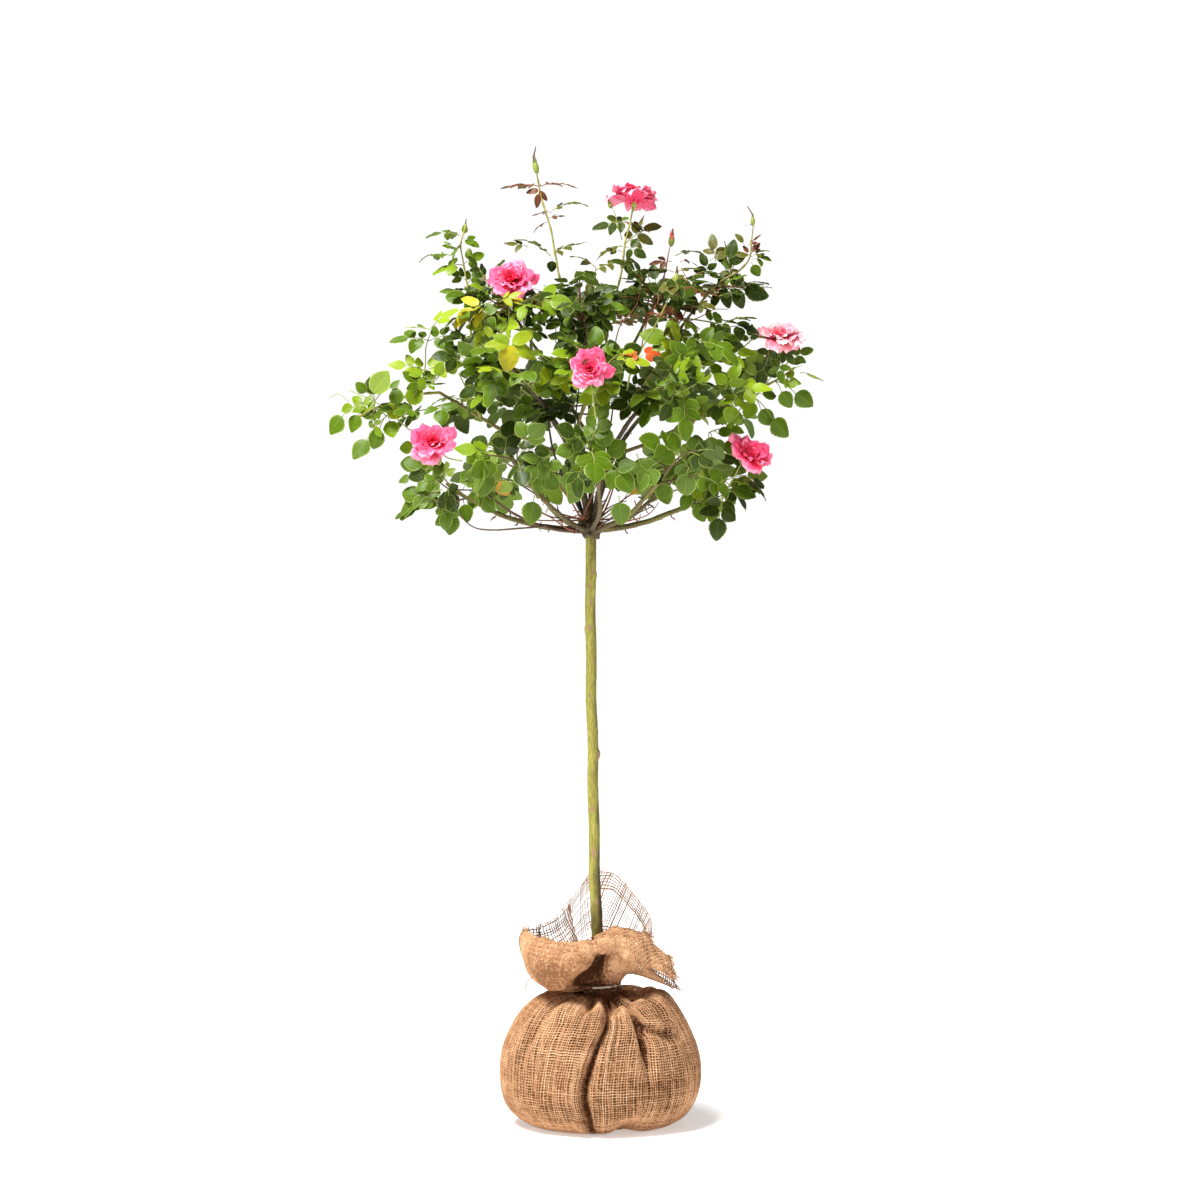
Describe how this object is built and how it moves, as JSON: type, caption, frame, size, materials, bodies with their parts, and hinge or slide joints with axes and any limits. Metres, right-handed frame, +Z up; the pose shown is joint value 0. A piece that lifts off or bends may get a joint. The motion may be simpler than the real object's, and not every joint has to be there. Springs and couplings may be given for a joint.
{
  "type": "standard rose tree with wrapped root ball",
  "caption": "Half-standard rose in bloom: one bare stem, spreading boughs and masses of foliage over a root ball wrapped in tied sacking that it stands on.",
  "frame": {"origin": "middle of the flat underside of the root ball", "axes": "+Z up the stem, -Y towards the front of the plant, +X to its right as seen from the front"},
  "size_m": [0.743, 0.525, 1.461],
  "materials": {
    "foliage": "soft green leaves, matt underneath and slightly waxy on top",
    "green_bark": "thin yellow-green bark with grey-brown patches and old pruning scars",
    "brown_bark": "olive to dark brown bark, rough at the union",
    "young_bark": "smooth young shoots, green to reddish",
    "sacking": "open plain weave of undyed jute with frayed edges",
    "twine": "thin pale grey twine",
    "soil": "firm moist garden soil"
  },
  "bodies": {
    "root": {"arm_left": "young_bark", "arm_right": "young_bark", "bough_back_left": "brown_bark", "bough_back_right": "brown_bark", "bough_front_left": "brown_bark", "bough_front_right": "brown_bark", "bough_high_back": "brown_bark", "bough_high_left": "brown_bark", "bough_high_right": "brown_bark", "bough_leader": "brown_bark", "bough_low_back_left": "brown_bark", "bough_low_back_right": "brown_bark", "bough_low_front": "brown_bark", "bough_low_front_left": "brown_bark", "bough_low_front_right": "brown_bark", "bough_low_left": "brown_bark", "bough_low_right": "brown_bark", "bough_mid_front": "brown_bark", "bough_mid_left": "brown_bark", "bough_mid_right": "brown_bark", "foliage_high_back": "foliage", "foliage_high_front": "foliage", "foliage_high_front_right": "foliage", "foliage_high_left": "foliage", "foliage_high_right": "foliage", "foliage_left_arm": "foliage", "foliage_left_shoot": "foliage", "foliage_low_back_left": "foliage", "foliage_low_back_right": "foliage", "foliage_low_front": "foliage", "foliage_low_front_left": "foliage", "foliage_low_front_right": "foliage", "foliage_low_left": "foliage", "foliage_low_right": "foliage", "foliage_mid_back_left": "foliage", "foliage_mid_back_right": "foliage", "foliage_mid_front": "foliage", "foliage_mid_front_left": "foliage", "foliage_mid_front_right": "foliage", "foliage_mid_left": "foliage", "foliage_mid_right": "foliage", "foliage_right_arm": "foliage", "foliage_right_shoot": "foliage", "foliage_tall_shoot": "foliage", "foliage_top": "foliage", "graft_union": "brown_bark", "neck_tie": "twine", "root_ball": "soil", "sacking_collar": "sacking", "sacking_wrap": "sacking", "shoot_arching": "young_bark", "shoot_left": "young_bark", "shoot_right": "young_bark", "shoot_tall": "young_bark", "shoot_top": "young_bark", "stem": "green_bark"}
  },
  "joints": []
}
